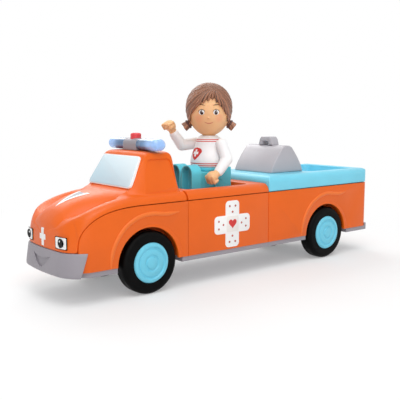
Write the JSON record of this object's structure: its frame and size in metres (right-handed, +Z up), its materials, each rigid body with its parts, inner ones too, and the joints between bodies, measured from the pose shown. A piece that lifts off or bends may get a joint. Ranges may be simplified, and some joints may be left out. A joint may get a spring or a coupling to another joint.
{
  "type": "toy ambulance",
  "caption": "Toy ambulance pickup in two halves that plug together, with rolling wheels, a seated rider with turning limbs, a lift-off case and a push-button light bar.",
  "frame": {"origin": "middle of the bounding box, on the floor under the wheels", "axes": "+X forward to the bumper, +Y to the vehicle's left, +Z up"},
  "size_m": [0.236, 0.0582, 0.1137],
  "materials": {
    "orange_plastic": "satin moulded",
    "sky_plastic": "satin moulded",
    "grey_plastic": "matte moulded",
    "tyre": "soft black tyre",
    "steel": "drawn and plated steel",
    "contact_brass": "sprung strip",
    "screen_sheet": "polished insert",
    "lamp_white": "printed white",
    "lamp_black": "printed black",
    "lens_blue": "clear tinted lens",
    "led_clear": "clear lamp body",
    "board_green": "solder-masked board",
    "dome_rubber": "soft dome",
    "button_red": "satin moulded",
    "skin_plastic": "matte moulded",
    "hair_plastic": "matte moulded",
    "shirt_plastic": "matte moulded with printed bands",
    "trouser_plastic": "matte moulded"
  },
  "bodies": {
    "rear_half": {"rear_body": "orange_plastic", "cockpit_deck": "orange_plastic", "bed_tub": "sky_plastic", "rear_chassis": "grey_plastic", "rear_screws": "steel"},
    "front_half": {"front_body": "orange_plastic", "hood_cab": "orange_plastic", "windscreen": "screen_sheet", "front_bumper": "grey_plastic", "left_headlamp": "lamp_white", "right_headlamp": "lamp_white", "headlamp_discs": "lamp_black", "front_chassis": "grey_plastic", "battery_contacts": "contact_brass", "button_cells": "steel", "battery_door": "grey_plastic", "door_screw": "steel", "front_screws": "steel", "light_bar": "grey_plastic", "left_lamp": "lens_blue", "right_lamp": "lens_blue", "lamp_leds": "led_clear", "circuit_board": "board_green", "button_dome": "dome_rubber"},
    "button": {"siren_button": "button_red"},
    "front_wheels": {"front_axle": "steel", "front_left_hub": "sky_plastic", "front_left_tyre": "tyre", "front_right_hub": "sky_plastic", "front_right_tyre": "tyre"},
    "rear_wheels": {"rear_axle": "steel", "rear_left_hub": "sky_plastic", "rear_left_tyre": "tyre", "rear_right_hub": "sky_plastic", "rear_right_tyre": "tyre"},
    "case": {"case_body": "grey_plastic", "case_handle": "grey_plastic"},
    "rider": {"rider_pelvis": "trouser_plastic", "rider_torso": "shirt_plastic", "rider_hip_pin": "steel"},
    "head": {"rider_head": "skin_plastic", "rider_hair": "hair_plastic"},
    "left_arm": {"rider_left_arm": "shirt_plastic", "rider_left_hand": "skin_plastic"},
    "right_arm": {"rider_right_arm": "shirt_plastic", "rider_right_hand": "skin_plastic"},
    "legs": {"rider_legs": "trouser_plastic"}
  },
  "joints": [
    {"name": "halves_plug", "type": "slide", "parent": "rear_half", "child": "front_half", "axis": [1, 0, 0], "range_m": [0, 0.04]},
    {"name": "front_roll", "type": "hinge", "parent": "front_half", "child": "front_wheels", "pos_m": [0.0679, 0, 0.017], "axis": [0, 1, 0], "continuous": true},
    {"name": "rear_roll", "type": "hinge", "parent": "rear_half", "child": "rear_wheels", "pos_m": [-0.0728, 0, 0.017], "axis": [0, 1, 0], "continuous": true},
    {"name": "button_press", "type": "slide", "parent": "front_half", "child": "button", "axis": [0, 0, -1], "range_m": [0, 0.0014], "stiffness_N_per_m": 300, "deforming": ["button_dome"]},
    {"name": "case_lift", "type": "slide", "parent": "rear_half", "child": "case", "axis": [0, 0, 1], "range_m": [0, 0.05]},
    {"name": "rider_lift", "type": "slide", "parent": "rear_half", "child": "rider", "axis": [0, 0, 1], "range_m": [0, 0.07]},
    {"name": "head_turn", "type": "hinge", "parent": "rider", "child": "head", "pos_m": [0.0054, 0, 0.0815], "axis": [0, 0, 1], "range_deg": [-130, 30]},
    {"name": "left_arm_swing", "type": "hinge", "parent": "rider", "child": "left_arm", "pos_m": [0.0054, 0.0118, 0.0769], "axis": [0, -1, 0], "range_deg": [-15, 100]},
    {"name": "right_arm_swing", "type": "hinge", "parent": "rider", "child": "right_arm", "pos_m": [0.0054, -0.0118, 0.0769], "axis": [0, -1, 0], "range_deg": [-70, 10]},
    {"name": "legs_bend", "type": "hinge", "parent": "rider", "child": "legs", "pos_m": [0.0061, 0, 0.0538], "axis": [0, 1, 0], "range_deg": [0, 85]}
  ]
}
